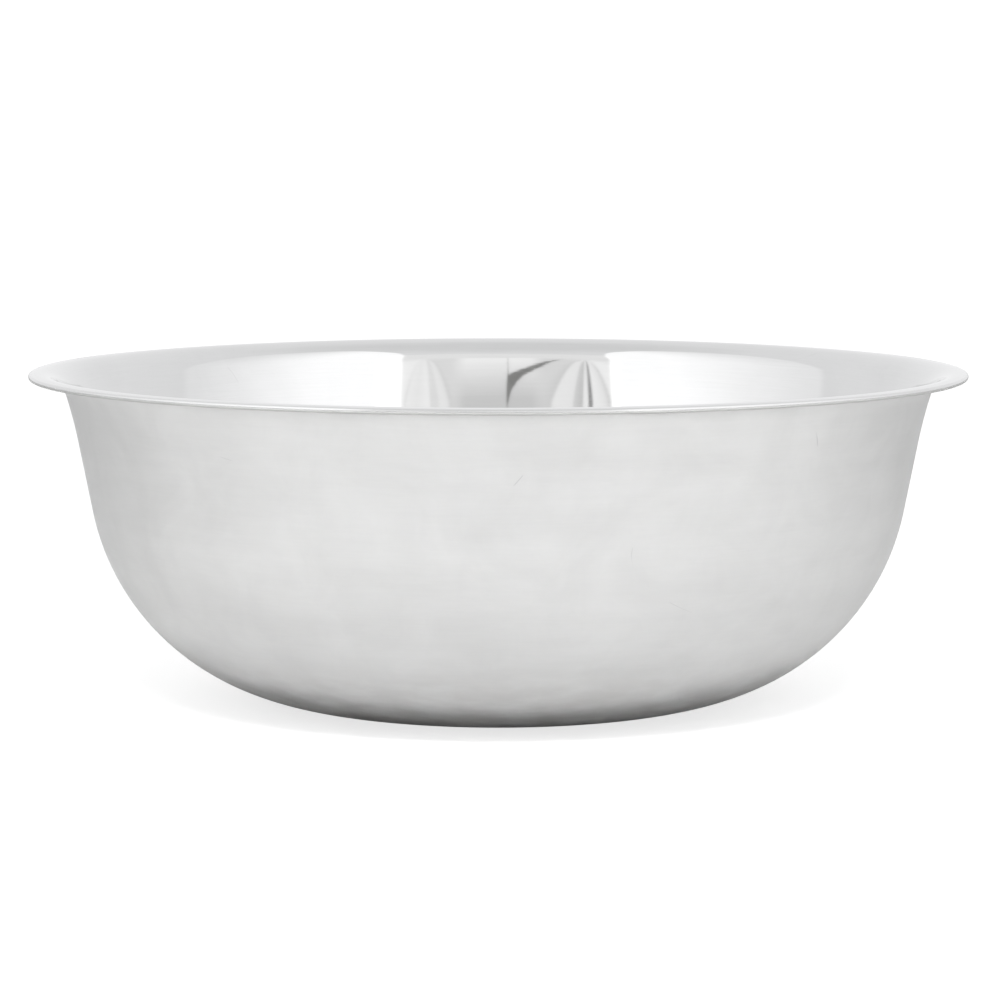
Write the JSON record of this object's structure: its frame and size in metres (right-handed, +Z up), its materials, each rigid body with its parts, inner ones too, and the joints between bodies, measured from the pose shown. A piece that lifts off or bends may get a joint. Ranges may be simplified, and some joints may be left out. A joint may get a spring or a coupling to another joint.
{
  "type": "mixing bowl",
  "caption": "Large round stainless steel mixing bowl with a flat base, steep sides and a flared rim whose edge is turned under.",
  "frame": {"origin": "centre of the underside of the flat base, on the surface the bowl stands on", "axes": "+Z up along the bowl's axis, out of its mouth; +X and +Y are any two level directions, because the bowl is round"},
  "size_m": [0.565, 0.565, 0.2],
  "materials": {
    "stainless_steel": "bright stainless steel, satin polished outside and mirror polished inside"
  },
  "bodies": {
    "root": {"bowl": "stainless_steel"}
  },
  "joints": []
}
